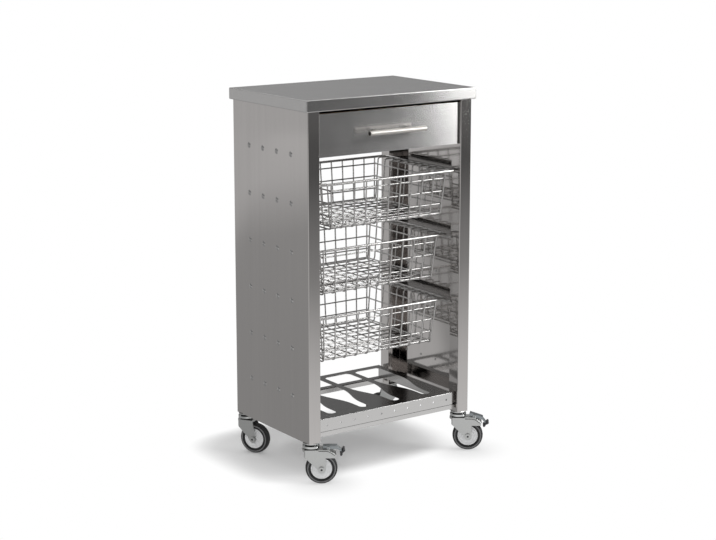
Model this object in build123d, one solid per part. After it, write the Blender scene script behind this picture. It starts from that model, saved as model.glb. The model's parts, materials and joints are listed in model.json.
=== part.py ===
from build123d import *
import os
from math import cos, radians, sin

# Stainless kitchen cart on four swivel casters: a worktop, a drawer, three sliding wire
# baskets and a bottle shelf between two folded side panels. Millimetres, +X to the right
# seen from the front, front towards -Y, +Z up, origin on the floor under the worktop's centre.

os.makedirs("parts", exist_ok=True)

# Overall
height = 900.0
worktop_width = 485.0
worktop_depth = 335.0
skirt_height = 27.0
hem_width = 3.6
hem_height = 4.0
hem_round = 2.4
corner_inside = 1.8
worktop_edge = 1.6
sheet = 1.2
fold_inside = 0.8
board_thickness = 18.0
fit_gap = 0.2
running_gap = 0.3
screw_clearance = 0.05
overcut = 1.0

# Side panels
side_overhang = 8.5
front_overhang = 8.0
rear_overhang = 5.0
post_width = 32.0
return_depth = 34.0
top_flange_inset = 3.0

# Rivets on the side panels
rivet_rows = 6
rivet_columns = 4
rivet_top_drop = 129.6
rivet_bottom_rise = 102.0
rivet_side_margin = 71.0
rivet_head_radius = 6.8
rivet_head_height = 2.8
rivet_shank_radius = 2.0
rivet_tail_radius = 3.0
rivet_tail_height = 0.9

# Worktop screws
worktop_screw_radius = 2.0
worktop_screw_head_radius = 4.0
worktop_screw_head_height = 2.6
worktop_screw_bite = 13.0
worktop_screw_spread = 210.0

# Panel across the rear, behind the drawer
rear_panel_height = 110.8
rear_panel_flange = 11.0

# Drawer
drawer_top_gap = 7.0
drawer_front_height = 100.0
drawer_front_depth = 15.0
drawer_recess = 7.5
drawer_side_gap = 1.5
drawer_box_rise = 10.0
drawer_box_height = 70.0
drawer_rear_gap = 15.0
drawer_sheet = 1.0

# Drawer slides
slide_rise = 46.0
slide_height = 40.0
slide_wall = 1.2
slide_depth = 12.8
slide_air = 0.5
slide_front_gap = 3.0
slide_rear_inset = 12.5
slide_shortening = 20.0

# Drawer handle
handle_length = 160.0
handle_radius = 6.0
handle_wall = 1.2
handle_standoff = 30.0
handle_post_spacing = 96.0
handle_post_radius = 5.0
handle_screw_radius = 2.0
handle_screw_bite = 9.0
handle_screw_head_radius = 4.0
handle_screw_head_height = 2.4

# Wire baskets, from the top one down, with each one's set-back from the posts
basket_setback = {"top": 9.5, "middle": 42.5, "bottom": 42.5}
basket_drop = 64.0
basket_pitch = 160.5
rim_side_gap = 5.0
rim_depth = 290.0
rim_radius = 3.0
rim_corner = 14.0
wire = 3.4
shoulder_width = 32.0
side_lean = 8.0
front_lean = 10.0
body_height = 105.0
row_drops = (16.0, 47.0, 78.0)
cross_gap_count = 10
length_gap_count = 9

# Runners that carry the baskets
runner_lip = 6.0
runner_foot = 16.0
runner_end_gap = 0.5

# Bottle shelf
shelf_rise = 50.0
shelf_side_gap = 7.0
shelf_setback = 12.5
shelf_lip = 30.0
shelf_rear_inset = 1.5
shelf_rear_hem = 7.0
slot_count = 4
slot_strip = 16.5
slot_inset = 27.0
slot_neck_half = 12.0
slot_neck_length = 35.0
slot_flare_length = 125.0
slot_body_half = 38.0
slot_rear_strip = 20.0
slot_rear_corner = 12.0
lip_hole_count = 10
lip_hole_margin = 18.6
lip_hole_radius = 2.4
lip_hole_drop = 15.5

# Rails under the shelf and their bolts
rail_width = 20.0
rail_height = 12.0
rail_rebate_height = 1.2
rail_rebate_depth = 4.0
rail_setback = 0.5
rail_end_gap = 6.0
bolt_radius = 3.0
bolt_bite = 12.0
bolt_collar_radius = 5.0
bolt_head_height = 3.0

# Caster wheels
wheel_radius = 37.5
tyre_width = 22.0
tyre_shoulder = 4.5
tyre_groove_inset = 6.0
tyre_groove_width = 2.0
tyre_groove_depth = 0.8
hub_radius = 25.0
hub_width = 18.0
hub_rim = 5.0
hub_dish_depth = 1.2
hub_boss_radius = 9.0
axle_radius = 4.0
axle_head_radius = 6.5
axle_head_height = 4.0
axle_socket_radius = 2.6
bearing_gap = 0.05

# Caster forks and heads
caster_trail = 24.0
fork_air = 2.0
fork_wall = 2.5
crown_air = 5.0
crown_thickness = 4.0
crown_back = 21.0
crown_front = 22.0
crown_skirt = 12.0
fork_boss_radius = 9.5
hood_reach = 33.0
hood_bend = 16.0
hood_fall = 12.0
hood_depth = 19.4
race_radius = 15.0
race_height = 4.2
caster_head_height = 11.5
caster_ring_radius = 20.0
caster_ring_height = 4.8
caster_neck_radius = 14.0
caster_flange_radius = 19.0
caster_flange_height = 2.2
kingpin_radius = 5.0
kingpin_head_radius = 8.0
kingpin_head_height = 6.0
kingpin_nut_radius = 9.0
kingpin_nut_height = 8.0
kingpin_end = 2.0
caster_plate_thickness = 3.0
caster_turn = {"front_left": -33.0, "front_right": -38.0, "rear_left": -58.0, "rear_right": 145.0}

# Brakes on the front casters, with places along and above the pivot
pivot_rise = 3.0
brake_pin_radius = 2.5
lug_gap = 0.4
lug_wall = 2.5
lug_reach = 3.7
lever_half_width = 9.0
lever_back = 12.0
lever_front = 21.0
lever_below = 2.0
lever_above = 5.0
arm_thickness = 4.0
tread_low = (26.5, -16.0)
tread_high = (35.5, -1.0)
tread_thickness = 5.0
tread_half_width = 14.0
brake_pressed = {"front_left": 0.0, "front_right": 18.0}

# Derived heights, from the floor up
crown_low = 2 * wheel_radius + crown_air
crown_top = crown_low + crown_thickness
race_top = crown_top + race_height
head_low = race_top + running_gap
caster_height = head_low + caster_head_height
shelf_top = caster_height + shelf_rise
shelf_low = shelf_top - shelf_lip
board_top = height - sheet
panel_top = board_top - board_thickness
skirt_bottom = height - skirt_height
drawer_front_top = skirt_bottom - drawer_top_gap
drawer_front_bottom = drawer_front_top - drawer_front_height
handle_z = (drawer_front_bottom + drawer_front_top) / 2
slide_centre = drawer_front_bottom + slide_rise
basket_level = drawer_front_bottom - basket_drop
pivot_z = crown_top + pivot_rise

# Derived places across the cart and from front to rear
panel_x = worktop_width / 2 - side_overhang
opening_x = panel_x - post_width
fold_outside = fold_inside + sheet
post_front = -worktop_depth / 2 + front_overhang
post_rear = worktop_depth / 2 - rear_overhang
panel_middle = (post_front + post_rear) / 2
panel_depth = post_rear - post_front
drawer_face = post_front + drawer_recess
drawer_box_front = drawer_face + sheet
drawer_box_rear = post_rear - sheet - rear_panel_flange - drawer_rear_gap
drawer_box_half = opening_x - slide_depth - slide_air - slide_wall
slide_front = drawer_face + drawer_front_depth + slide_front_gap
slide_rear = post_rear - slide_rear_inset
rim_half_width = opening_x - rim_side_gap
body_half_width = rim_half_width - shoulder_width
shelf_half_width = opening_x - shelf_side_gap
shelf_front = post_front + shelf_setback
shelf_rear = post_rear - shelf_rear_inset
rail_end = opening_x - rail_end_gap
channel_middle = sheet + (return_depth - sheet) / 2
caster_x = panel_x - post_width / 2
caster_y = {"front": post_front + channel_middle, "rear": post_rear - channel_middle}

# Derived places on a caster, along its trail and across it
pivot_x = caster_trail + hood_bend
hood_end = caster_trail + hood_reach
fork_inner = tyre_width / 2 + fork_air
fork_outer = fork_inner + fork_wall
lug_inner = lever_half_width + lug_gap
lug_outer = lug_inner + lug_wall


def block(x, y, z):
    """Box between pairs of limits on the three axes."""
    size = Box(x[1] - x[0], y[1] - y[0], z[1] - z[0])
    return Pos((x[0] + x[1]) / 2, (y[0] + y[1]) / 2, (z[0] + z[1]) / 2) * size


def rod(axis, radius, start, end, at):
    """Cylinder along X, Y or Z between two stations, at the other two coordinates."""
    length = end - start
    middle = (start + end) / 2
    upright = Cylinder(radius, length)
    if axis == "x":
        return Pos(middle, at[0], at[1]) * Rot(0, 90, 0) * upright
    if axis == "y":
        return Pos(at[0], middle, at[1]) * Rot(90, 0, 0) * upright
    return Pos(at[0], at[1], middle) * upright


def save(name, *shapes):
    """Write the solids of the shapes as one named piece."""
    solids = [solid for shape in shapes for solid in shape.solids()]
    piece = solids[0] if len(solids) == 1 else Compound(solids)
    export_step(piece, f"parts/{name}.step")


def flip(shape):
    """The shape on the other side of the cart's middle plane."""
    return mirror(shape, about=Plane.YZ)


def save_pair(name, shape):
    """Write the right-hand piece and its left-hand mirror image."""
    save(name.format("right"), shape)
    save(name.format("left"), flip(shape))


# Worktop: a folded sheet over a board
def make_worktop():
    outer = extrude(RectangleRounded(worktop_width, worktop_depth, corner_inside + sheet), skirt_height)
    outer = fillet(outer.faces().sort_by(Axis.Z)[-1].edges(), worktop_edge)
    outer = fillet(outer.faces().sort_by(Axis.Z)[0].edges(), hem_round)
    inside = RectangleRounded(worktop_width - 2 * sheet, worktop_depth - 2 * sheet, corner_inside)
    hollow = Pos(0, 0, hem_height) * extrude(inside, skirt_height - sheet - hem_height)
    mouth = RectangleRounded(worktop_width - 2 * hem_width, worktop_depth - 2 * hem_width, corner_inside)
    hollow += extrude(mouth, hem_height)
    return Pos(0, 0, skirt_bottom) * (outer - hollow)


def worktop_screw_places():
    return [
        (side * caster_x, panel_middle + end * worktop_screw_spread / 2)
        for side in (-1, 1)
        for end in (-1, 1)
    ]


def make_board():
    inset = 2 * (sheet + fit_gap)
    outline = RectangleRounded(worktop_width - inset, worktop_depth - inset, corner_inside)
    board = Pos(0, 0, panel_top) * extrude(outline, board_thickness)
    for place in worktop_screw_places():
        pilot = worktop_screw_radius + screw_clearance
        board -= rod("z", pilot, panel_top, panel_top + worktop_screw_bite, place)
    return board


def make_worktop_screws():
    screws = []
    under = panel_top - sheet
    for place in worktop_screw_places():
        shank = rod("z", worktop_screw_radius, under, panel_top + worktop_screw_bite, place)
        head = rod("z", worktop_screw_head_radius, under - worktop_screw_head_height, under, place)
        screws.append(shank + head)
    return screws


# Side panels: a sheet folded into an upright channel along the front and the rear edge
def rivet_places():
    first = post_front + rivet_side_margin
    top = height - rivet_top_drop
    column_pitch = (panel_depth - 2 * rivet_side_margin) / (rivet_columns - 1)
    row_pitch = (top - caster_height - rivet_bottom_rise) / (rivet_rows - 1)
    return [
        (first + column_pitch * column, top - row_pitch * row)
        for row in range(rivet_rows)
        for column in range(rivet_columns)
    ]


def rail_bolt_places():
    z = shelf_low - rail_height / 2
    return [(shelf_front + rail_setback + rail_width / 2, z), (shelf_rear - rail_width / 2, z)]


def make_side_panel():
    outer = RectangleRounded(post_width, panel_depth, fold_outside)
    inner = RectangleRounded(post_width - 2 * sheet, panel_depth - 2 * sheet, fold_inside)
    mouth = Pos(-post_width / 2, 0) * Rectangle(3 * sheet, panel_depth - 2 * return_depth)
    walls = extrude(outer - inner - mouth, panel_top - caster_height)
    panel = Pos(caster_x, panel_middle, caster_height) * walls
    panel += block(
        (opening_x + top_flange_inset, panel_x - sheet / 2),
        (post_front + sheet, post_rear - sheet),
        (panel_top - sheet, panel_top),
    )
    hole = rivet_shank_radius + screw_clearance
    for place in rivet_places():
        panel -= rod("x", hole, panel_x - 2 * sheet, panel_x + sheet, place)
    for place in rail_bolt_places():
        panel -= rod("x", bolt_radius + screw_clearance, opening_x - sheet, opening_x + 2 * sheet, place)
    for x, y in worktop_screw_places():
        if x > 0:
            clear = worktop_screw_radius + fit_gap
            panel -= rod("z", clear, panel_top - 2 * sheet, panel_top + sheet, (x, y))
    return panel


def make_rivets():
    tail = -sheet - rivet_tail_height
    steps = Polyline(
        (rivet_head_height, 0), (tail, 0), (tail, rivet_tail_radius), (-sheet, rivet_tail_radius),
        (-sheet, rivet_shank_radius), (0, rivet_shank_radius), (0, rivet_head_radius),
    )
    dome = TangentArc((rivet_head_height, 0), (0, rivet_head_radius), tangent=(0, 1))
    rivet = revolve(make_face([steps, dome]), Axis.X)
    return [Pos(panel_x, *place) * rivet for place in rivet_places()]


def make_rear_panel():
    outer_y = post_rear - sheet
    inner_y = outer_y - rear_panel_flange
    low = panel_top - rear_panel_height
    pan = block((-opening_x, opening_x), (inner_y, outer_y), (low, panel_top))
    return pan - block(
        (-opening_x + sheet, opening_x - sheet),
        (inner_y - overcut, outer_y - sheet),
        (low + sheet, panel_top - sheet),
    )


# Drawer: a folded front, a tray and a pair of slides
def make_drawer_front():
    half = opening_x - drawer_side_gap
    back = drawer_face + drawer_front_depth
    front = block((-half, half), (drawer_face, back), (drawer_front_bottom, drawer_front_top))
    front = fillet(front.faces().sort_by(Axis.Y)[0].edges(), fold_inside)
    front -= block(
        (-half + sheet, half - sheet),
        (drawer_face + sheet, back + overcut),
        (drawer_front_bottom + sheet, drawer_front_top - sheet),
    )
    for x in handle_post_places():
        hole = handle_screw_radius + screw_clearance
        front -= rod("y", hole, drawer_face - sheet, drawer_face + 2 * sheet, (x, handle_z))
    return front


def handle_post_places():
    return (-handle_post_spacing / 2, handle_post_spacing / 2)


def make_drawer_box():
    """Tray welded from a floor plate and four walls."""
    low = drawer_front_bottom + drawer_box_rise
    floor_top = low + drawer_sheet
    rise = (floor_top, low + drawer_box_height)
    depth = (drawer_box_front, drawer_box_rear)
    inner = drawer_box_half - drawer_sheet
    floor = block((-drawer_box_half, drawer_box_half), depth, (low, floor_top))
    side = block((inner, drawer_box_half), depth, rise)
    rear = block((-inner, inner), (drawer_box_rear - drawer_sheet, drawer_box_rear), rise)
    front = block((-inner, inner), (drawer_box_front, drawer_box_front + drawer_sheet), rise)
    for x in handle_post_places():
        hole = handle_screw_radius + screw_clearance
        front -= rod("y", hole, drawer_face, drawer_box_front + 2 * drawer_sheet, (x, handle_z))
    return [floor, side, flip(side), rear, front]


def make_cabinet_slide():
    low = slide_centre - slide_height / 2
    high = slide_centre + slide_height / 2
    mouth = opening_x - slide_depth
    body = block((mouth, opening_x), (slide_front, slide_rear), (low, high))
    return body - block(
        (mouth - overcut, opening_x - slide_wall),
        (slide_front - overcut, slide_rear + overcut),
        (low + slide_wall, high - slide_wall),
    )


def make_drawer_slide():
    low = slide_centre - slide_height / 2 + slide_wall + running_gap
    high = slide_centre + slide_height / 2 - slide_wall - running_gap
    rear = slide_rear - slide_shortening
    outer = opening_x - slide_wall - slide_air
    body = block((drawer_box_half, outer), (slide_front, rear), (low, high))
    return body - block(
        (drawer_box_half + slide_wall, outer + overcut),
        (slide_front - overcut, rear + overcut),
        (low + slide_wall, high - slide_wall),
    )


def make_handle_bar():
    y = drawer_face - handle_standoff
    outer = rod("x", handle_radius, -handle_length / 2, handle_length / 2, (y, handle_z))
    bore = rod("x", handle_radius - handle_wall, -handle_length, handle_length, (y, handle_z))
    return outer - bore


def make_handle_posts():
    y = drawer_face - handle_standoff
    bar = rod("x", handle_radius, -handle_length, handle_length, (y, handle_z))
    posts = []
    for x in handle_post_places():
        post = rod("y", handle_post_radius, y, drawer_face, (x, handle_z)) - bar
        thread = handle_screw_radius + screw_clearance
        post -= rod("y", thread, drawer_face - handle_screw_bite, drawer_face + overcut, (x, handle_z))
        posts.append(post)
    return posts


def make_handle_screws():
    inside = drawer_box_front + drawer_sheet
    screws = []
    for x in handle_post_places():
        shank = rod("y", handle_screw_radius, drawer_face - handle_screw_bite, inside, (x, handle_z))
        head = rod("y", handle_screw_head_radius, inside, inside + handle_screw_head_height, (x, handle_z))
        screws.append(shank + head)
    return screws


# Wire baskets: a round rim and flat welded panels, drawn about the front of the rim
def quad(corners):
    """Face through four corners in the sketch plane."""
    return make_face(Polyline(*corners, close=True))


def grille(top_half, bottom_half, length, gaps, stations):
    """Flat wire panel, open along its top, with cross wires at the given distances from the top."""
    def half_at(station):
        return top_half + (bottom_half - top_half) * station / length

    edge = wire / 2
    panel = quad([
        (-top_half - edge, 0), (top_half + edge, 0),
        (bottom_half + edge, -length), (-bottom_half - edge, -length),
    ])
    levels = [-wire] + list(stations)
    cells = []
    for upper, lower in zip(levels[:-1], levels[1:]):
        start = upper + edge
        end = lower - edge
        for gap in range(gaps):
            left = 2 * gap / gaps - 1
            right = 2 * (gap + 1) / gaps - 1
            cells.append(quad([
                (left * half_at(start) + edge, -start), (right * half_at(start) - edge, -start),
                (right * half_at(end) - edge, -end), (left * half_at(end) + edge, -end),
            ]))
    return extrude(panel - cells, wire / 2, both=True)


def mat(x, y, columns, rows):
    """Flat rectangular wire mat between limits, with equal gaps."""
    edge = wire / 2
    width = x[1] - x[0]
    depth = y[1] - y[0]
    panel = Rectangle(width + wire, depth + wire)
    cell = Rectangle(width / columns - wire, depth / rows - wire)
    cells = [place * cell for place in GridLocations(width / columns, depth / rows, columns, rows)]
    middle = Pos((x[0] + x[1]) / 2, (y[0] + y[1]) / 2, 0)
    return middle * extrude(panel - cells, edge, both=True)


def make_rim():
    outline = Pos(0, rim_depth / 2) * RectangleRounded(2 * rim_half_width, rim_depth, rim_corner)
    path = outline.wire()
    start = path @ 0
    section = Plane(start, z_dir=path % 0) * Circle(rim_radius)
    return sweep(section, path=path)


def upright_panel(panel, along, origin, lean):
    """Stand a flat panel on the line through origin, leaning its foot inwards by the lean angle."""
    inward = Vector(-along.Y, along.X, 0)
    up = Vector(0, 0, cos(radians(lean))) - inward * sin(radians(lean))
    return Plane(origin, x_dir=along, z_dir=along.cross(up)) * panel


def lean_angle(run, drop):
    return Vector(drop, 0, 0).get_angle(Vector(drop, run, 0))


def slant(run, drop):
    return (run**2 + drop**2) ** 0.5


def make_basket_mesh():
    top_drop = rim_radius + fit_gap
    face_drop = body_height - top_drop
    face_length = slant(front_lean, face_drop)
    stretch = face_length / face_drop
    rows = [(drop - top_drop) * stretch for drop in row_drops] + [face_length - wire / 2]
    bottom_half = body_half_width - side_lean
    face = grille(body_half_width, bottom_half, face_length, cross_gap_count, rows)
    tilt = lean_angle(front_lean, face_drop)
    front = upright_panel(face, Vector(1, 0, 0), (0, 0, -top_drop), tilt)
    rear = upright_panel(face, Vector(-1, 0, 0), (0, rim_depth, -top_drop), tilt)

    side_top = wire / 2
    side_drop = body_height - side_top
    side_length = slant(side_lean, side_drop)
    side_stretch = side_length / side_drop
    side_rows = [wire / 2] + [(drop - side_top) * side_stretch for drop in row_drops]
    side_rows.append(side_length - wire / 2)
    top_half = rim_depth / 2 - rim_radius - wire
    low_half = rim_depth / 2 - front_lean - 2 * wire
    wall = grille(top_half, low_half, side_length, length_gap_count, side_rows)
    side_tilt = lean_angle(side_lean, side_drop)
    middle = rim_depth / 2
    right = upright_panel(wall, Vector(0, 1, 0), (body_half_width, middle, -side_top), side_tilt)

    shoulder_half = rim_depth / 2 - rim_corner - wire / 2
    shoulder = mat(
        (body_half_width, rim_half_width - rim_radius - wire / 2 - fit_gap),
        (middle - shoulder_half, middle + shoulder_half),
        1, length_gap_count,
    )
    floor = mat(
        (-bottom_half, bottom_half),
        (front_lean, rim_depth - front_lean),
        cross_gap_count, length_gap_count,
    )
    floor = Pos(0, 0, -body_height - wire / 2 - 2 * fit_gap) * floor
    return [front, rear, right, flip(right), shoulder, flip(shoulder), floor]


def make_runner(rim_level):
    """Folded ledge on the side panel, under one basket's rim, cut clear of any rivet tails."""
    top = rim_level - rim_radius - running_gap
    wall = panel_x - sheet
    run = (post_front + return_depth + runner_end_gap, post_rear - return_depth - runner_end_gap)
    inner = rim_half_width - rim_radius
    ledge = block((inner, wall), run, (top - sheet, top))
    lip = block((inner, inner + sheet), run, (top - runner_lip, top))
    foot = block((wall - sheet, wall), run, (top - runner_foot, top))
    runner = ledge + lip + foot
    relief = rivet_tail_radius + fit_gap
    for y, z in rivet_places():
        if top - runner_foot - relief < z < top + relief:
            runner -= rod("x", relief, wall - sheet - overcut, wall + overcut, (y, z))
    return runner


# Bottle shelf: a folded tray with bottle-shaped cut-outs, on two rails
def slot_outline():
    """Bottle outline about the slot's own centre line, tip towards the front."""
    tip = shelf_front + slot_inset
    nose_end = tip + slot_neck_half
    neck_end = tip + slot_neck_length
    body_start = neck_end + slot_flare_length
    rear = shelf_rear - slot_rear_strip
    nose = ThreePointArc((-slot_neck_half, nose_end), (0, tip), (slot_neck_half, nose_end))
    right_neck = Line((slot_neck_half, nose_end), (slot_neck_half, neck_end))
    right_flare = Spline(
        (slot_neck_half, neck_end), (slot_body_half, body_start), tangents=((0, 1), (0, 1))
    )
    body = Polyline(
        (slot_body_half, body_start), (slot_body_half, rear),
        (-slot_body_half, rear), (-slot_body_half, body_start),
    )
    left_flare = Spline(
        (-slot_body_half, body_start), (-slot_neck_half, neck_end), tangents=((0, -1), (0, -1))
    )
    left_neck = Line((-slot_neck_half, neck_end), (-slot_neck_half, nose_end))
    slot = make_face([nose, right_neck, right_flare, body, left_flare, left_neck])
    return fillet(slot.vertices().group_by(Axis.Y)[-1], slot_rear_corner)


def spread(count, pitch):
    """Stations of a row that is centred on zero."""
    return [pitch * (number - (count - 1) / 2) for number in range(count)]


def make_shelf():
    inner = (-shelf_half_width + sheet, shelf_half_width - sheet)
    under = shelf_low - overcut
    shelf = block((-shelf_half_width, shelf_half_width), (shelf_front, shelf_rear), (shelf_low, shelf_top))
    shelf = fillet(shelf.faces().sort_by(Axis.Z)[-1].edges(), fold_inside)
    shelf -= block(inner, (shelf_front + sheet, shelf_rear - sheet), (under, shelf_top - sheet))
    rear_cut = (shelf_rear - sheet - overcut, shelf_rear + overcut)
    shelf -= block(inner, rear_cut, (under, shelf_top - shelf_rear_hem))
    slot = extrude(slot_outline(), sheet + 2 * overcut)
    for x in spread(slot_count, 2 * slot_body_half + slot_strip):
        shelf -= Pos(x, 0, shelf_top - sheet - overcut) * slot
    hole_pitch = 2 * (shelf_half_width - lip_hole_margin) / (lip_hole_count - 1)
    for x in spread(lip_hole_count, hole_pitch):
        through = (shelf_front - overcut, shelf_front + sheet + overcut)
        shelf -= rod("y", lip_hole_radius, *through, (x, shelf_top - lip_hole_drop))
    return shelf


def make_rail(place):
    """Bar across the cart, tapped at both ends, with a rebate along its top front edge."""
    rail = Pos(0, *place) * Box(2 * rail_end, rail_width, rail_height)
    front = place[0] - rail_width / 2
    rebate_low = shelf_low - rail_rebate_height
    past = rail_end + overcut
    depth = (front - overcut, front + rail_rebate_depth)
    rail -= block((-past, past), depth, (rebate_low, shelf_low + overcut))
    for side in (-1, 1):
        ends = sorted((side * (rail_end - bolt_bite), side * (rail_end + overcut)))
        rail -= rod("x", bolt_radius + screw_clearance, *ends, place)
    return rail


def make_rail_bolts():
    bolts = []
    for place in rail_bolt_places():
        seat = opening_x + sheet
        shank = rod("x", bolt_radius, rail_end - bolt_bite, seat, place)
        collar = rod("x", bolt_collar_radius, rail_end, opening_x, place)
        head = rod("x", bolt_collar_radius, seat, seat + bolt_head_height, place)
        bolt = shank + collar + head
        bolts += [bolt, flip(bolt)]
    return bolts


# Casters, drawn about the swivel axis with the wheel trailing along +X
def side_face(points):
    """Face in the X-Z plane through the given points."""
    return Plane.XZ * make_face(Polyline(*points, close=True))


def axle_rod(radius, start, end):
    """Cylinder about the wheel's axle."""
    return rod("y", radius, start, end, (caster_trail, wheel_radius))


def pin_rod(radius, start, end):
    """Cylinder about the brake pedal's pivot."""
    return rod("y", radius, start, end, (pivot_x, pivot_z))


def make_fork(braked):
    left = caster_trail - fork_boss_radius
    right = caster_trail + fork_boss_radius
    hood_low = crown_top - hood_depth
    slope = hood_fall / (hood_end - pivot_x)
    cheek = [
        (-crown_back, crown_top), (-crown_back, crown_top - crown_skirt), (left, wheel_radius),
        (right, wheel_radius),
    ]
    if braked:
        cheek += [(right, hood_low), (hood_end, hood_low)]
        cheek += [(hood_end, crown_top - hood_fall), (pivot_x, crown_top)]
    else:
        cheek.append((crown_front, crown_top))
    fork = extrude(side_face(cheek), fork_outer, both=True)
    fork += axle_rod(fork_boss_radius, -fork_outer, fork_outer)
    bend = pivot_x - slope * crown_thickness / 2
    past = hood_end + overcut
    fork -= extrude(side_face([
        (-crown_back - overcut, 0), (-crown_back - overcut, crown_low), (bend, crown_low),
        (past, crown_low - slope * (past - bend)), (past, 0),
    ]), fork_inner, both=True)
    round_back = rod("z", crown_back, 0, crown_top, (0, 0))
    fork &= round_back + block((0, past), (-fork_outer, fork_outer), (0, crown_top))
    fork += rod("z", race_radius, crown_low, race_top, (0, 0))
    if braked:
        foot = crown_top - slope * lug_reach - crown_thickness / 2
        for side in (-1, 1):
            span = sorted((side * lug_inner, side * lug_outer))
            fork += block((pivot_x - lug_reach, pivot_x + lug_reach), span, (foot, pivot_z))
            fork += pin_rod(lug_reach, *span)
        fork -= pin_rod(brake_pin_radius + bearing_gap, -fork_outer, fork_outer)
    fork -= rod("z", kingpin_radius + bearing_gap, 0, race_top + overcut, (0, 0))
    return fork - axle_rod(axle_radius + screw_clearance, -fork_outer - overcut, fork_outer + overcut)


def make_axle():
    head_end = -fork_outer - axle_head_height
    shank = axle_rod(axle_radius, -fork_outer, fork_outer)
    head = axle_rod(axle_head_radius, head_end, -fork_outer)
    head -= axle_rod(axle_socket_radius, head_end - overcut, head_end + axle_head_height / 2)
    nut_face = Plane.XZ * (Pos(caster_trail, wheel_radius) * RegularPolygon(axle_head_radius, 6))
    nut = Pos(0, fork_outer + axle_head_height, 0) * extrude(nut_face, axle_head_height)
    return shank + head + nut


def make_hub():
    face = hub_width / 2
    hub = axle_rod(hub_radius, -face, face)
    for side in (-1, 1):
        dish = sorted((side * (face - hub_dish_depth), side * (face + overcut)))
        hub -= axle_rod(hub_radius - hub_rim, *dish)
    hub += axle_rod(hub_boss_radius, -fork_inner + running_gap, fork_inner - running_gap)
    return hub - axle_rod(axle_radius + bearing_gap, -fork_inner, fork_inner)


def make_tyre():
    face = tyre_width / 2
    tyre = axle_rod(wheel_radius, -face, face)
    tyre = fillet(tyre.edges().filter_by(GeomType.CIRCLE), tyre_shoulder)
    groove = hub_radius + tyre_groove_inset
    for side in (-1, 1):
        cut = sorted((side * (face - tyre_groove_depth), side * (face + overcut)))
        ring = axle_rod(groove + tyre_groove_width / 2, *cut) - axle_rod(groove - tyre_groove_width / 2, *cut)
        tyre -= ring
    return tyre - axle_rod(hub_radius, -tyre_width, tyre_width)


def make_brake_tread():
    low = Vector(*tread_low) + Vector(pivot_x, pivot_z)
    high = Vector(*tread_high) + Vector(pivot_x, pivot_z)
    across = (high - low).rotate(Axis.Z, -90).normalized() * tread_thickness
    corners = [low, high, high + across, low + across]
    return extrude(side_face([(corner.X, corner.Y) for corner in corners]), tread_half_width, both=True)


def make_brake_pedal():
    low = pivot_z - lever_below
    front = pivot_x + lever_front
    lever = block(
        (pivot_x - lever_back, front), (-lever_half_width, lever_half_width), (low, pivot_z + lever_above)
    )
    end_x = pivot_x + (tread_low[0] + tread_high[0]) / 2
    end_z = pivot_z + (tread_low[1] + tread_high[1]) / 2
    arm = side_face([
        (front, low), (front, low + arm_thickness), (end_x, end_z + arm_thickness), (end_x, end_z),
    ])
    lever += extrude(arm, lever_half_width, both=True)
    lever += pin_rod(brake_pin_radius, -lug_outer, lug_outer)
    return lever - make_brake_tread()


def press_pedal(shape, angle):
    """Turn a pedal piece about its pivot by the angle that it is pressed down."""
    return Pos(pivot_x, 0, pivot_z) * Rot(0, angle, 0) * Pos(-pivot_x, 0, -pivot_z) * shape


def make_caster_head():
    ring_top = head_low + caster_ring_height
    flange_low = caster_height - caster_flange_height
    ring = rod("z", caster_ring_radius, head_low, ring_top, (0, 0))
    neck = rod("z", caster_neck_radius, ring_top, flange_low, (0, 0))
    flange = rod("z", caster_flange_radius, flange_low, caster_height, (0, 0))
    bore = rod("z", kingpin_radius + bearing_gap, race_top, caster_height + overcut, (0, 0))
    return ring + neck + flange - bore


def make_kingpin():
    head_top = crown_low - fit_gap
    nut_low = caster_height + caster_plate_thickness
    shank = rod("z", kingpin_radius, head_top, nut_low + kingpin_nut_height + kingpin_end, (0, 0))
    head = rod("z", kingpin_head_radius, head_top - kingpin_head_height, head_top, (0, 0))
    nut = Pos(0, 0, nut_low) * extrude(RegularPolygon(kingpin_nut_radius, 6), kingpin_nut_height)
    return shank + head + nut


def make_caster_plate():
    outline = RectangleRounded(post_width - 2 * sheet, return_depth - sheet, fold_inside)
    plate = Pos(0, 0, caster_height) * extrude(outline, caster_plate_thickness)
    top = caster_height + caster_plate_thickness
    return plate - rod("z", kingpin_radius + screw_clearance, race_top, top + overcut, (0, 0))


def caster_place(corner):
    end, side = corner.split("_")
    return Pos(caster_x if side == "right" else -caster_x, caster_y[end], 0)


# Write every piece
save("worktop", make_worktop())
save("worktop_board", make_board())
save("worktop_screws", *make_worktop_screws())

save_pair("{}_side_panel", make_side_panel())
rivets = make_rivets()
save("right_panel_rivets", *rivets)
save("left_panel_rivets", *[flip(rivet) for rivet in rivets])
save("rear_top_panel", make_rear_panel())

save("drawer_front", make_drawer_front())
save("drawer_box", *make_drawer_box())
save_pair("{}_cabinet_slide", make_cabinet_slide())
save_pair("{}_drawer_slide", make_drawer_slide())
save("handle_bar", make_handle_bar())
save("handle_posts", *make_handle_posts())
save("handle_screws", *make_handle_screws())

rim = make_rim()
mesh = make_basket_mesh()
for index, (name, setback) in enumerate(basket_setback.items()):
    level = basket_level - basket_pitch * index
    place = Pos(0, post_front + setback, level)
    save(f"{name}_basket_rim", place * rim)
    save(f"{name}_basket_mesh", *[place * panel for panel in mesh])
    save_pair("{}_" + f"{name}_runner", make_runner(level))

save("bottle_shelf", make_shelf())
front_rail, rear_rail = [make_rail(place) for place in rail_bolt_places()]
save("front_rail", front_rail)
save("rear_rail", rear_rail)
save("rail_bolts", *make_rail_bolts())

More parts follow.
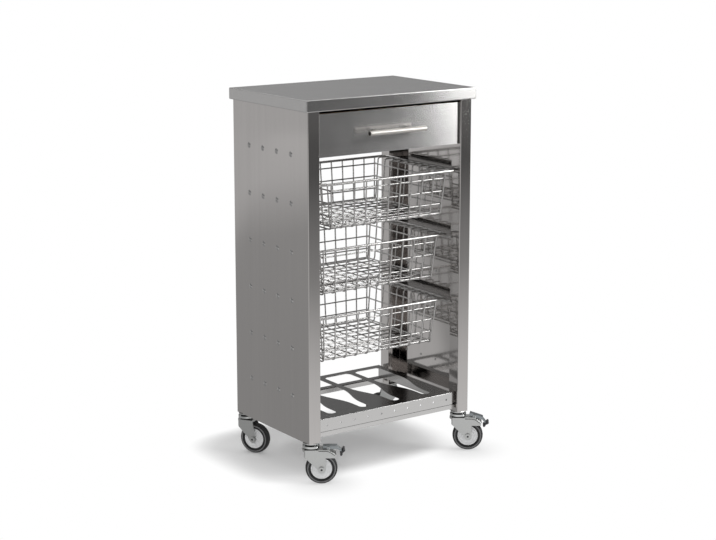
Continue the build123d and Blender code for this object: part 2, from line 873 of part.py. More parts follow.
plain_fork = make_fork(braked=False)
braked_fork = make_fork(braked=True)
axle = make_axle()
hub = make_hub()
tyre = make_tyre()
places = {corner: caster_place(corner) for corner in caster_turn}
for corner, turn in caster_turn.items():
    turned = places[corner] * Rot(0, 0, turn)
    save(f"{corner}_fork", turned * (braked_fork if corner in brake_pressed else plain_fork))
    save(f"{corner}_axle", turned * axle)
    save(f"{corner}_hub", turned * hub)
    save(f"{corner}_tyre", turned * tyre)
for corner, pressed in brake_pressed.items():
    turned = places[corner] * Rot(0, 0, caster_turn[corner])
    save(f"{corner}_brake_pedal", turned * press_pedal(make_brake_pedal(), pressed))
    save(f"{corner}_brake_pad", turned * press_pedal(make_brake_tread(), pressed))
save("caster_heads", *[place * make_caster_head() for place in places.values()])
save("caster_kingpins", *[place * make_kingpin() for place in places.values()])
save("caster_plates", *[place * make_caster_plate() for place in places.values()])
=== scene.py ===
"""Looks of a stainless steel kitchen cart on four casters.

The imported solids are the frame. The wire baskets, the wheels and the brake treads are modelled
here in finer form, every other solid is dressed in a procedural finish, and a pale studio stands
round it all. Lengths are metres in the frame's own axes: +X right, front towards -Y, +Z up.
"""

import json
import logging
import math
from dataclasses import dataclass, field
from enum import Enum
from typing import Any, ClassVar, Sequence, Union

import bmesh
import bpy
from mathutils import Matrix, Vector

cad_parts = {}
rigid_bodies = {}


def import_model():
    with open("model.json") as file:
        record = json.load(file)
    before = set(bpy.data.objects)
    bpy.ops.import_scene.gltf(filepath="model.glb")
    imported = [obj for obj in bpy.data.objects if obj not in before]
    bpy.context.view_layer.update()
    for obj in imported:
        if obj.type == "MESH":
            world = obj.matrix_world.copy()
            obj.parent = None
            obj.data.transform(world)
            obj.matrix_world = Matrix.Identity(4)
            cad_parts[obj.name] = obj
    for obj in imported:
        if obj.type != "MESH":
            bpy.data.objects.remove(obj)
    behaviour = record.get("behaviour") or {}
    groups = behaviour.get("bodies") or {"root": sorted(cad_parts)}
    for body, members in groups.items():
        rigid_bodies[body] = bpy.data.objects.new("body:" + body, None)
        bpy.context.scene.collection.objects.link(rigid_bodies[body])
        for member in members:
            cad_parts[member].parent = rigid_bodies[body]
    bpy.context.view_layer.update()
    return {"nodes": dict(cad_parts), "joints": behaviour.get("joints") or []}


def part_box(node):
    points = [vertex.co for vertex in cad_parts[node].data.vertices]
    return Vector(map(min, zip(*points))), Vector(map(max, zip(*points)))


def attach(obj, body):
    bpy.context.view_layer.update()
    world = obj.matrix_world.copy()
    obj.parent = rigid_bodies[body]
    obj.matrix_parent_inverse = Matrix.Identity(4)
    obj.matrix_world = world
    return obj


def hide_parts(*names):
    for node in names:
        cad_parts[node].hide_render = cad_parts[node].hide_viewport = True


for leftover in list(bpy.data.objects):
    bpy.data.objects.remove(leftover)
FRAME: dict[str, Any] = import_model()

LOG = logging.getLogger("cart")
MM = 0.001
UP = Vector((0.0, 0.0, 1.0))
# How far each brake pedal is pressed at rest, in degrees.
PEDAL_ANGLES = {"front_left": 0.0, "front_right": 18.0}
FRONT_CORNERS = tuple(PEDAL_ANGLES)
CORNERS = FRONT_CORNERS + ("rear_left", "rear_right")
SIDES = ("left", "right")
TIERS = ("top", "middle", "bottom")

Pair = tuple[float, float]
Triple = tuple[float, float, float]
Pairs = Sequence[Pair]
Colour = Triple
Number = Union[float, "Socket"]
Settings = dict[str, Any]
Sockets = dict[Union[str, int], Any]


@dataclass(frozen=True)
class Socket:
    """One output of a shader node; arithmetic on it adds Math nodes."""

    recipe: "Recipe"
    end: bpy.types.NodeSocket

    def __add__(self, other: Number) -> "Socket":
        """The sum."""
        return self.recipe.maths("ADD", self, other)

    def __radd__(self, other: Number) -> "Socket":
        """The sum, with this value second."""
        return self.recipe.maths("ADD", other, self)

    def __sub__(self, other: Number) -> "Socket":
        """The difference."""
        return self.recipe.maths("SUBTRACT", self, other)

    def __rsub__(self, other: Number) -> "Socket":
        """The difference, with this value second."""
        return self.recipe.maths("SUBTRACT", other, self)

    def __mul__(self, other: Number) -> "Socket":
        """The product."""
        return self.recipe.maths("MULTIPLY", self, other)

    def __rmul__(self, other: Number) -> "Socket":
        """The product, with this value second."""
        return self.recipe.maths("MULTIPLY", other, self)

    def above_zero(self) -> "Socket":
        """The value, or zero where it is negative."""
        return self.recipe.maths("MAXIMUM", self, 0.0)


class Recipe:
    """Shader nodes of one material or world, added one at a time."""

    def __init__(self, tree: bpy.types.NodeTree) -> None:
        """Start with an empty tree."""
        self.tree = tree
        tree.nodes.clear()

    def node(
        self,
        kind: str,
        settings: Settings | None = None,
        sockets: Sockets | None = None,
        out: str | int = 0,
    ) -> Socket:
        """Add a node.

        Args:
            kind: Blender's name of the node type.
            settings: attributes, set before the sockets; "stops" holds a ramp's positions and colours.
            sockets: values or links of the inputs, by name or number.
            out: the output that is wanted.

        Returns:
            That output, or the node's first input where it has no output.
        """
        made = self.tree.nodes.new(kind)
        for name, value in (settings or {}).items():
            if name == "stops":
                self._set_stops(made.color_ramp, value)
            else:
                setattr(made, name, value)
        for name, value in (sockets or {}).items():
            entry = made.inputs[name]
            if isinstance(value, Socket):
                self.tree.links.new(value.end, entry)
            elif entry.type == "RGBA" and len(value) == 3:
                entry.default_value = (*value, 1.0)
            else:
                entry.default_value = value
        return Socket(self, made.outputs[out] if made.outputs else made.inputs[0])

    @staticmethod
    def _set_stops(ramp: bpy.types.ColorRamp, stops: Sequence[tuple[float, Colour]]) -> None:
        """Give a ramp its positions and colours."""
        while len(ramp.elements) < len(stops):
            ramp.elements.new(1.0)
        for element, (position, colour) in zip(ramp.elements, stops):
            element.position = position
            element.color = (*colour, 1.0)

    def maths(self, operation: str, *values: Number) -> Socket:
        """One Math node on the values."""
        return self.node("ShaderNodeMath", {"operation": operation}, dict(enumerate(values)))

    def point(self) -> Socket:
        """Place on the piece in its own coordinates, in metres."""
        return self.node("ShaderNodeTexCoord", out="Object")

    def stretched(self, vector: Socket, factors: Sequence[float]) -> Socket:
        """The vector with each coordinate multiplied by its factor."""
        return self.node("ShaderNodeVectorMath", {"operation": "MULTIPLY"}, {0: vector, 1: tuple(factors)})

    def noise(self, vector: Socket, scale: float, detail: float = 2.0, rough: float = 0.5) -> Socket:
        """Cloudy noise from 0 to 1."""
        sockets = {"Vector": vector, "Scale": scale, "Detail": detail, "Roughness": rough}
        return self.node("ShaderNodeTexNoise", None, sockets, "Fac")

    def blend(self, share: Number, first: Colour | Socket, second: Colour | Socket) -> Socket:
        """Colour between two colours."""
        settings = {"data_type": "RGBA", "clamp_factor": True}
        return self.node("ShaderNodeMix", settings, {0: share, 6: first, 7: second}, 2)

    def bump(self, height: Socket, strength: float, distance: float) -> Socket:
        """Normal of a surface raised by the height times the distance."""
        sockets = {"Height": height, "Strength": strength, "Distance": distance}
        return self.node("ShaderNodeBump", None, sockets)

    def dot(self, vector: Socket, direction: Sequence[float]) -> Socket:
        """How far the vector reaches in a direction."""
        settings = {"operation": "DOT_PRODUCT"}
        return self.node("ShaderNodeVectorMath", settings, {0: vector, 1: tuple(direction)}, "Value")

    def eased(self, value: Socket, span: Pair) -> Socket:
        """Share from 0 at the span's start to 1 at its end, with soft ends."""
        settings = {"interpolation_type": "SMOOTHSTEP", "clamp": True}
        sockets = {"Value": value, "From Min": span[0], "From Max": span[1]}
        return self.node("ShaderNodeMapRange", settings, sockets)

    def ray(self, kind: str) -> Socket:
        """One where the light path's ray is of a kind, else zero."""
        return self.node("ShaderNodeLightPath", out=f"Is {kind} Ray")

    def shader(self, sockets: Sockets) -> Socket:
        """A Principled shader with these inputs."""
        return self.node("ShaderNodeBsdfPrincipled", None, sockets)

    def surface(self, shader: Socket) -> None:
        """Send a shader to the material's output."""
        self.node("ShaderNodeOutputMaterial", None, {"Surface": shader})

    def principled(self, sockets: Sockets) -> None:
        """Send a Principled shader with these inputs to the material's output."""
        self.surface(self.shader(sockets))


def shade(colour: Colour, factor: float) -> Colour:
    """The colour made darker or lighter.

    Args:
        colour: linear red, green and blue.
        factor: what each is multiplied by.

    Returns:
        The new colour.
    """
    return (colour[0] * factor, colour[1] * factor, colour[2] * factor)


class Grain(Enum):
    """Direction in which a metal surface is brushed."""

    ACROSS = 0
    DEPTH = 1
    UPRIGHT = 2

    def factors(self, along: float, over: float) -> list[float]:
        """Noise frequencies per metre, low along the grain and high over it."""
        return [along if axis == self.value else over for axis in range(3)]


@dataclass(frozen=True)
class Finish:
    """Surface of one kind of piece."""

    name: str
    colour: Colour

    def material(self) -> bpy.types.Material:
        """The finish as a new material."""
        made = bpy.data.materials.new(f"{self.name}_finish")
        made.use_nodes = True
        made.diffuse_color = (*self.colour, 1.0)
        self.mix(Recipe(made.node_tree))
        return made

    def mix(self, recipe: Recipe) -> None:
        """Add the finish's nodes to the recipe."""
        raise NotImplementedError


@dataclass(frozen=True)
class BrushedSteel(Finish):
    """Sheet metal with fine brush lines, broad bands and faint handling marks."""

    roughness: float
    grain: Grain
    anisotropy: float = 0.0
    turn: float = 0.0
    relief: float = 0.000006
    polish: float = 0.0

    POLISHED: ClassVar[float] = 0.11
    LINES: ClassVar[Pair] = (9.0, 850.0)
    BANDS: ClassVar[Pair] = (1.5, 70.0)
    MARKS: ClassVar[float] = 8.0
    DARKEST: ClassVar[float] = 0.92
    PALEST: ClassVar[float] = 1.07

    def mix(self, recipe: Recipe) -> None:
        """The brushed shader all over."""
        recipe.surface(self.brushed(recipe))

    def brushed(self, recipe: Recipe) -> Socket:
        """Wide reflections from the brush lines, mixed with sharper ones from the metal between them."""
        lines = self.sheet(recipe, self.roughness, self.anisotropy)
        if not self.polish:
            return lines
        between = self.sheet(recipe, self.POLISHED, 0.0)
        return recipe.node("ShaderNodeMixShader", None, {0: self.polish, 1: lines, 2: between})

    def sheet(self, recipe: Recipe, roughness: float, anisotropy: float, tone: float = 1.0) -> Socket:
        """Shader whose brush lines drive the colour, the roughness and the bump.

        Args:
            recipe: where the nodes go.
            roughness: the mean roughness.
            anisotropy: how much further reflections spread across the grain than along it.
            tone: what the colour is multiplied by; below 1 it is painted shade.

        Returns:
            The shader.
        """
        point = recipe.point()
        lines = recipe.noise(recipe.stretched(point, self.grain.factors(*self.LINES)), 1.0, 3.0, 0.65)
        bands = recipe.noise(recipe.stretched(point, self.grain.factors(*self.BANDS)), 1.0, 2.0)
        marks = recipe.noise(point, self.MARKS, 4.0, 0.6)
        streaks = 0.55 * lines + 0.45 * bands
        dark = shade(self.colour, self.DARKEST * tone)
        pale = shade(self.colour, self.PALEST * tone)
        return recipe.shader({
            "Base Color": recipe.blend(streaks, dark, pale),
            "Metallic": 1.0,
            "Roughness": roughness + 0.06 * (lines - 0.5) + 0.08 * (marks - 0.5),
            "Anisotropic": anisotropy,
            "Anisotropic Rotation": self.turn,
            "Normal": recipe.bump(lines, 0.6, self.relief),
        })


@dataclass(frozen=True)
class FoldedSheet(BrushedSteel):
    """Brushed sheet with a plain satin top and strongly brushed skirts at the front and the rear; the top
    can carry painted shade.
    """

    top_roughness: float = 0.24
    # What the top's colour is multiplied by: below 1 it is painted shade.
    painted_top_shade: float = 1.0

    def mix(self, recipe: Recipe) -> None:
        """The top's shader, darkened by its painted shade, and the skirts' where the surface faces the front
        or the rear.
        """
        normal = recipe.node("ShaderNodeNewGeometry", out="Normal")
        facing = recipe.dot(normal, (0.0, 1.0, 0.0))
        top = self.sheet(recipe, self.top_roughness, 0.0, self.painted_top_shade)
        sheets = {0: facing * facing, 1: top, 2: self.brushed(recipe)}
        recipe.surface(recipe.node("ShaderNodeMixShader", None, sheets))


@dataclass(frozen=True)
class PlatedWire(Finish):
    """Bright plated wire with a slightly uneven shine."""

    roughness: float

    CLOUD: ClassVar[float] = 55.0
    FINE: ClassVar[float] = 900.0
    RELIEF: ClassVar[float] = 0.02 * MM

    def mix(self, recipe: Recipe) -> None:
        """Cloudy changes of shine along the wire."""
        point = recipe.point()
        cloud = recipe.noise(point, self.CLOUD, 3.0)
        fine = recipe.noise(point, self.FINE, 2.0)
        recipe.principled({
            "Base Color": recipe.blend(cloud, shade(self.colour, 0.86), shade(self.colour, 1.08)),
            "Metallic": 1.0,
            "Roughness": self.roughness + 0.12 * (cloud - 0.4).above_zero() + 0.05 * fine,
            "Normal": recipe.bump(fine, 0.2, self.RELIEF),
        })


@dataclass(frozen=True)
class ZincPlate(Finish):
    """Pressed zinc-plated steel with a faint spangle."""

    roughness: float
    tint: Colour

    SPANGLE: ClassVar[float] = 420.0
    CLOUD: ClassVar[float] = 70.0
    FINE: ClassVar[float] = 1300.0
    RELIEF: ClassVar[float] = 0.08 * MM

    def mix(self, recipe: Recipe) -> None:
        """Spangle cells, cloudy tint and soft pressing marks."""
        point = recipe.point()
        sockets = {"Vector": point, "Scale": self.SPANGLE}
        cells = recipe.node("ShaderNodeTexVoronoi", None, sockets, "Distance")
        cloud = recipe.noise(point, self.CLOUD, 4.0, 0.6)
        fine = recipe.noise(point, self.FINE, 2.0)
        plated = recipe.blend(0.35 * cells + 0.65 * cloud, shade(self.colour, 0.88), self.tint)
        recipe.principled({
            "Base Color": plated,
            "Metallic": 1.0,
            "Roughness": self.roughness + 0.16 * (cloud - 0.5) + 0.06 * fine,
            "Normal": recipe.bump(0.6 * cloud + 0.4 * fine, 0.25, self.RELIEF),
        })


@dataclass(frozen=True)
class Rubber(Finish):
    """Moulded rubber with a dusty bloom."""

    bloom: Colour
    roughness: float

    PATCHES: ClassVar[float] = 45.0
    FINE: ClassVar[float] = 1100.0
    RELIEF: ClassVar[float] = 0.06 * MM

    def mix(self, recipe: Recipe) -> None:
        """Bloom in patches over a fine moulded texture."""
        point = recipe.point()
        patches = recipe.noise(point, self.PATCHES, 4.0, 0.6)
        fine = recipe.noise(point, self.FINE, 3.0)
        recipe.principled({
            "Base Color": recipe.blend(1.6 * (patches - 0.42).above_zero(), self.colour, self.bloom),
            "Roughness": self.roughness + 0.22 * (patches - 0.5) + 0.10 * (fine - 0.5),
            "Specular IOR Level": 0.45,
            "Normal": recipe.bump(fine, 0.35, self.RELIEF),
        })


@dataclass(frozen=True)
class MouldedPlastic(Finish):
    """Moulded plastic with a fine texture."""

    roughness: float

    CLOUD: ClassVar[float] = 60.0
    PEEL: ClassVar[float] = 950.0
    RELIEF: ClassVar[float] = 0.05 * MM

    def mix(self, recipe: Recipe) -> None:
        """Slight tone changes over an orange-peel surface."""
        point = recipe.point()
        cloud = recipe.noise(point, self.CLOUD, 3.0)
        peel = recipe.noise(point, self.PEEL, 2.0)
        recipe.principled({
            "Base Color": recipe.blend(cloud, shade(self.colour, 0.92), shade(self.colour, 1.06)),
            "Roughness": self.roughness + 0.14 * (cloud - 0.5) + 0.08 * (peel - 0.5),
            "Normal": recipe.bump(peel, 0.25, self.RELIEF),
        })


@dataclass(frozen=True)
class PressedBoard(Finish):
    """Board of pressed wood chips."""

    dark: Colour

    CHIPS: ClassVar[float] = 340.0
    DUST: ClassVar[float] = 800.0
    ROUGHNESS: ClassVar[float] = 0.78
    RELIEF: ClassVar[float] = 0.2 * MM

    def mix(self, recipe: Recipe) -> None:
        """Chips of different tones, with dust between them."""
        point = recipe.point()
        chips = recipe.node("ShaderNodeTexVoronoi", None, {"Vector": point, "Scale": self.CHIPS}, "Color")
        tone = recipe.node("ShaderNodeSeparateXYZ", None, {0: chips}, "X")
        dust = recipe.noise(point, self.DUST, 3.0)
        recipe.principled({
            "Base Color": recipe.blend(0.7 * tone + 0.3 * dust, self.dark, self.colour),
            "Roughness": self.ROUGHNESS + 0.15 * (dust - 0.5),
            "Normal": recipe.bump(0.5 * tone + 0.5 * dust, 0.4, self.RELIEF),
        })


STEEL: Colour = (0.60, 0.592, 0.585)
WARM_STEEL: Colour = (0.612, 0.590, 0.577)

# Brushed finishes give the roughness, the grain and, where it counts, how reflections spread and which way.
FINISHES: dict[str, Finish] = {
    "worktop_steel": FoldedSheet("worktop_steel", STEEL, 0.19, Grain.ACROSS, 1.0, 0.25, polish=0.5),
    "panel_steel": BrushedSteel("panel_steel", WARM_STEEL, 0.08, Grain.UPRIGHT),
    "drawer_steel": BrushedSteel("drawer_steel", STEEL, 0.21, Grain.ACROSS, 1.0, 0.25, polish=0.3),
    "runner_steel": BrushedSteel("runner_steel", shade(STEEL, 0.95), 0.22, Grain.DEPTH),
    # The shelf's steel is painted paler, a painted highlight on its lip and on the rails, and its top is
    # painted darker, a painted shade.
    "shelf_steel": FoldedSheet(
        "shelf_steel", shade(STEEL, 1.18), 0.17, Grain.ACROSS, top_roughness=0.17, painted_top_shade=0.74
    ),
    "tray_steel": BrushedSteel("tray_steel", shade(STEEL, 0.95), 0.32, Grain.DEPTH),
    "rivet_steel": PlatedWire("rivet_steel", shade(STEEL, 0.92), 0.20),
    "fastener_steel": ZincPlate("fastener_steel", (0.56, 0.56, 0.55), 0.26, (0.62, 0.61, 0.58)),
    "handle_nickel": BrushedSteel("handle_nickel", (0.58, 0.56, 0.53), 0.40, Grain.ACROSS, relief=0.000002),
    "basket_wire": PlatedWire("basket_wire", (0.63, 0.62, 0.61), 0.20),
    "caster_zinc": ZincPlate("caster_zinc", (0.68, 0.69, 0.685), 0.34, (0.72, 0.725, 0.71)),
    "hub_grey": MouldedPlastic("hub_grey", (0.74, 0.745, 0.75), 0.42),
    "tyre_black": Rubber("tyre_black", (0.012, 0.012, 0.0125), (0.035, 0.035, 0.036), 0.50),
    "brake_steel": ZincPlate("brake_steel", (0.36, 0.39, 0.41), 0.33, (0.42, 0.45, 0.46)),
    "brake_tread": MouldedPlastic("brake_tread", (0.045, 0.045, 0.048), 0.52),
    "core_board": PressedBoard("core_board", (0.55, 0.40, 0.24), (0.26, 0.17, 0.09)),
}
# Paler rubber on the tyre walls' raised rings: a real raised band whose pale colour is a painted highlight.
HIGHLIGHT_BAND_RUBBER = Rubber("tyre_highlight_band", (0.16, 0.16, 0.163), (0.22, 0.22, 0.22), 0.46)
# Near-black steel as painted shade: sleeves in the casters' neck and race gaps, and a line under the front
# casters' hood edges.
PAINTED_SHADE_STEEL = ZincPlate("painted_shade_steel", (0.035, 0.036, 0.037), 0.38, (0.05, 0.05, 0.05))
POLISHED_ZINC = ZincPlate("polished_zinc", (0.72, 0.735, 0.73), 0.14, (0.76, 0.765, 0.75))


class Wardrobe:
    """The materials of the record's slots, each made once."""

    def __init__(self) -> None:
        """Start with no material made."""
        self.made: dict[str, bpy.types.Material] = {}

    def of(self, finish: Finish) -> bpy.types.Material:
        """The finish's one material."""
        if finish.name not in self.made:
            self.made[finish.name] = finish.material()
        return self.made[finish.name]

    def dress(self, node: str, slot: str, finish: Finish | None = None) -> bpy.types.Object:
        """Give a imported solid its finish.

        Args:
            node: the solid's name.
            slot: the record's material slot.
            finish: another finish than the slot's own.

        Returns:
            The solid's object.
        """
        piece = FRAME["nodes"][node]
        for entry in piece.material_slots:
            entry.material = self.of(finish or FINISHES[slot])
        LOG.info("dressed %s in %s", node, slot)
        return piece


WARDROBE = Wardrobe()
EDGE_FACETS = 2
SHARP_ABOVE = math.radians(40.0)
BEND_STEPS = 6


def soften_edges(piece: bpy.types.Object, width: float) -> None:
    """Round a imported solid's sharp edges in the picture.

    Args:
        piece: the solid's object.
        width: how far the rounding reaches from the edge.
    """
    bevel = piece.modifiers.new("soft_edges", "BEVEL")
    bevel.width = width
    bevel.segments = EDGE_FACETS
    bevel.limit_method = "ANGLE"
    bevel.angle_limit = SHARP_ABOVE
    bevel.harden_normals = True


def bent(points: Sequence[Vector], radii: Sequence[float], steps: int = BEND_STEPS) -> list[Vector]:
    """A wire's centre line with its corners rounded.

    Args:
        points: ends and corners of the line.
        radii: bend radius at each inner corner.
        steps: pieces in each bend.

    Returns:
        Points along the line.
    """
    line = [points[0]]
    for before, corner, after, radius in zip(points[:-2], points[1:-1], points[2:], radii):
        back = (before - corner).normalized()
        on = (after - corner).normalized()
        half = back.angle(on) / 2
        inset = radius / math.tan(half)
        centre = corner + (back + on).normalized() * (radius / math.sin(half))
        start = corner + back * inset - centre
        end = corner + on * inset - centre
        axis = start.cross(end).normalized()
        sweep = start.angle(end)
        for step in range(steps + 1):
            line.append(centre + Matrix.Rotation(sweep * step / steps, 3, axis) @ start)
    line.append(points[-1])
    return line


class Shape:
    """Mesh of a new piece, put together from swept, turned and extruded forms."""

    SMOOTH_BELOW: ClassVar[float] = math.radians(38.0)

    def __init__(self, name: str) -> None:
        """Start an empty mesh with the piece's name."""
        self.name = name
        self.mesh = bmesh.new()

    def _ring(self, points: Sequence[Vector]) -> list[bmesh.types.BMVert]:
        """Vertices at the points."""
        return [self.mesh.verts.new(point) for point in points]

    def _bridge(self, first: Sequence[bmesh.types.BMVert], second: Sequence[bmesh.types.BMVert]) -> None:
        """Quads between two closed rings of the same length."""
        for index in range(len(first)):
            after = (index + 1) % len(first)
            self.mesh.faces.new((first[index], first[after], second[after], second[index]))

    def wire(self, line: Sequence[Vector], radius: float, closed: bool = False, sides: int = 10) -> None:
        """Add a round wire.

        Args:
            line: points along its centre.
            radius: half its thickness.
            closed: whether its end joins its start.
            sides: facets round it.
        """
        count = len(line)
        rings = []
        side = None
        for index, point in enumerate(line):
            before = line[index - 1] if index or closed else point
            after = line[(index + 1) % count] if index < count - 1 or closed else point
            ahead = (after - before).normalized()
            if side is None:
                side = ahead.orthogonal()
            side = (side - ahead * side.dot(ahead)).normalized()
            over = ahead.cross(side)
            turns = [2 * math.pi * facet / sides for facet in range(sides)]
            rings.append(self._ring([
                point + (side * math.cos(turn) + over * math.sin(turn)) * radius for turn in turns
            ]))
        for first, second in zip(rings, rings[1:] + rings[:1] if closed else rings[1:]):
            self._bridge(first, second)
        if not closed:
            self.mesh.faces.new(list(reversed(rings[0])))
            self.mesh.faces.new(rings[-1])

    def turned(self, profile: Pairs, place: Matrix, steps: int = 120) -> None:
        """Add a form turned about its own Z axis.

        Args:
            profile: closed outline as radius and height.
            place: where the form goes.
            steps: facets round it.
        """
        rings = []
        for step in range(steps):
            spin = Matrix.Rotation(2 * math.pi * step / steps, 4, "Z")
            rings.append(self._ring([place @ spin @ Vector((r, 0.0, z)) for r, z in profile]))
        for first, second in zip(rings, rings[1:] + rings[:1]):
            self._bridge(first, second)

    def prism(self, outline: Pairs, stations: Pairs, place: Matrix) -> None:
        """Add an outline swept along its own Y axis.

        Args:
            outline: points as X and Z.
            stations: places along Y, each with the outline's scale about its middle there.
            place: where the form goes.
        """
        middle_x = sum(x for x, _ in outline) / len(outline)
        middle_z = sum(z for _, z in outline) / len(outline)
        rings = []
        for along, scale in stations:
            rings.append(self._ring([
                place @ Vector((middle_x + (x - middle_x) * scale, along, middle_z + (z - middle_z) * scale))
                for x, z in outline
            ]))
        for first, second in zip(rings, rings[1:]):
            self._bridge(first, second)
        self.mesh.faces.new(list(reversed(rings[0])))
        self.mesh.faces.new(rings[-1])

    def piece(self, finish: Finish, slot: str, body: str, *nodes: str) -> bpy.types.Object:
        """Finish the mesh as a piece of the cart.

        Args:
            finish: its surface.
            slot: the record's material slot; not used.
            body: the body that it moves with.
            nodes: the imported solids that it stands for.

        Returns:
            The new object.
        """
        bmesh.ops.recalc_face_normals(self.mesh, faces=self.mesh.faces)
        data = bpy.data.meshes.new(self.name)
        self.mesh.to_mesh(data)
        self.mesh.free()
        data.shade_smooth()
        data.set_sharp_from_angle(angle=self.SMOOTH_BELOW)
        data.materials.append(WARDROBE.of(finish))
        made = bpy.data.objects.new(self.name, data)
        bpy.context.scene.collection.objects.link(made)
        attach(made, body)
        if nodes:
            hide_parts(*nodes)
        LOG.info("built %s on %s", self.name, body)
        return made


@dataclass
class Carcass:
    """Worktop, side panels, rear panel, runners, shelf and rails, which don't move."""

    edge: float = 0.5 * MM

    def dress(self) -> None:
        """Give the fixed solids their finishes."""
        WARDROBE.dress("worktop", "worktop_steel")
        WARDROBE.dress("worktop_board", "core_board")
        WARDROBE.dress("rear_top_panel", "panel_steel")
        WARDROBE.dress("bottle_shelf", "shelf_steel")
        for node in ("worktop_screws", "rail_bolts"):
            WARDROBE.dress(node, "fastener_steel")
        for node in ("front_rail", "rear_rail"):
            soften_edges(WARDROBE.dress(node, "shelf_steel"), self.edge)
        for side in SIDES:
            WARDROBE.dress(f"{side}_side_panel", "panel_steel")
            WARDROBE.dress(f"{side}_panel_rivets", "rivet_steel")
            for tier in TIERS:
                WARDROBE.dress(f"{side}_{tier}_runner", "runner_steel")


@dataclass
class Drawer:
    """Drawer front, tray, slides and bar handle."""

    def dress(self) -> None:
        """Give the drawer's solids their finishes."""
        WARDROBE.dress("drawer_front", "drawer_steel")
        WARDROBE.dress("drawer_box", "tray_steel")
        WARDROBE.dress("handle_screws", "fastener_steel")
        for node in ("handle_bar", "handle_posts"):
            WARDROBE.dress(node, "handle_nickel")
        for side in SIDES:
            WARDROBE.dress(f"{side}_cabinet_slide", "tray_steel")
            WARDROBE.dress(f"{side}_drawer_slide", "tray_steel")


@dataclass
class Basket:
    """Wire basket: a round rim and a body of bent and welded wires."""

    tier: str
    rim_radius: float = 3.0 * MM
    rim_corner: float = 14.0 * MM
    wire_radius: float = 1.7 * MM
    top_half: float = 165.0 * MM
    floor_half: float = 157.0 * MM
    lean: float = 10.0 * MM
    height: float = 105.0 * MM
    bend: float = 12.0 * MM
    shoulder_bend: float = 6.0 * MM
    shoulder_inset: float = 15.7 * MM
    floor_drop: float = 107.1 * MM
    rows: tuple[float, ...] = (16.0 * MM, 47.0 * MM, 78.0 * MM, 101.0 * MM)
    long_gaps: int = 10
    cross_gaps: int = 9
    lap: float = 2.9 * MM
    weld_share: float = 0.8
    cross_share: float = 0.95
    rim_bend_steps: int = 8
    rim_facets: int = 16
    front: float = field(init=False)
    rear: float = field(init=False)
    level: float = field(init=False)
    rim_half: float = field(init=False)

    def __post_init__(self) -> None:
        """Take the rim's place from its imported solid."""
        low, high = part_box(f"{self.tier}_basket_rim")
        self.front = low.y + self.rim_radius
        self.rear = high.y - self.rim_radius
        self.level = (low.z + high.z) / 2
        self.rim_half = high.x - self.rim_radius

    def build(self) -> None:
        """Make the rim and the body."""
        body = f"{self.tier}_basket"
        finish = FINISHES["basket_wire"]
        self._rim().piece(finish, "basket_wire", body, f"{body}_rim")
        self._body().piece(finish, "basket_wire", body, f"{body}_mesh")

    def _at(self, x: float, y: float, drop: float) -> Vector:
        """Point at a drop below the rim."""
        return Vector((x, y, self.level - drop))

    def _rim(self) -> Shape:
        """The closed rim wire."""
        corners = [(1, 0), (1, 1), (-1, 1), (-1, 0)]
        depth = (self.front, self.rear)
        points = [self._at(side * self.rim_half, depth[end], 0.0) for side, end in corners]
        middle = (points[-1] + points[0]) / 2
        line = bent([middle, *points, middle], [self.rim_corner] * 4, self.rim_bend_steps)
        shape = Shape(f"{self.tier}_basket_rim_wire")
        shape.wire(line[:-1], self.rim_radius, closed=True, sides=self.rim_facets)
        return shape

    def _body(self) -> Shape:
        """The bent wires and the rows welded across them."""
        shape = Shape(f"{self.tier}_basket_wires")
        for number in range(self.long_gaps + 1):
            share = 2 * number / self.long_gaps - 1
            shape.wire(self._long_wire(share), self.wire_radius)
        span = self.rear - self.front - 2 * self.shoulder_inset
        for number in range(self.cross_gaps + 1):
            y = self.front + self.shoulder_inset + span * number / self.cross_gaps
            shape.wire(self._cross_wire(y), self.wire_radius)
        for drop in self.rows:
            for line in self._row(drop):
                shape.wire(line, self.wire_radius)
        return shape

    def _long_wire(self, share: float) -> list[Vector]:
        """A wire down the front, under the floor and up the rear."""
        top = share * self.top_half
        low = share * self.floor_half
        start = self.rim_radius * self.weld_share
        points = [
            self._at(top, self.front, start),
            self._at(low, self.front + self.lean, self.floor_drop),
            self._at(low, self.rear - self.lean, self.floor_drop),
            self._at(top, self.rear, start),
        ]
        return bent(points, [self.bend] * 2)

    def _cross_wire(self, y: float) -> list[Vector]:
        """A wire from the rim, down one side, across the floor and up the other side."""
        end = self.rim_half - self.rim_radius * self.weld_share
        floor = self.floor_drop - 2 * self.wire_radius * self.cross_share
        half = [(end, 0.0), (self.top_half, 0.0), (self.floor_half, floor)]
        points = [self._at(x, y, drop) for x, drop in half]
        points += [self._at(-x, y, drop) for x, drop in reversed(half)]
        return bent(points, [self.shoulder_bend, self.bend, self.bend, self.shoulder_bend])

    def _row(self, drop: float) -> list[list[Vector]]:
        """Straight wires at one drop, inside the front, the rear and both sides."""
        share = drop / self.height
        half = self.top_half + (self.floor_half - self.top_half) * share
        near = self.front + self.lean * share
        far = self.rear - self.lean * share
        lines = []
        for y in (near + self.lap, far - self.lap):
            lines.append([self._at(-half - self.lap, y, drop), self._at(half + self.lap, y, drop)])
        for x in (half - self.lap, self.lap - half):
            lines.append([self._at(x, near + self.lap, drop), self._at(x, far - self.lap, drop)])
        return lines


def in_metres(outline: Pairs) -> list[Pair]:
    """The outline of points in millimetres, in metres."""
    return [(across * MM, along * MM) for across, along in outline]


def joint(name: str) -> dict[str, Any]:
    """The record's joint of that name."""
    return next(entry for entry in FRAME["joints"] if entry["name"] == name)


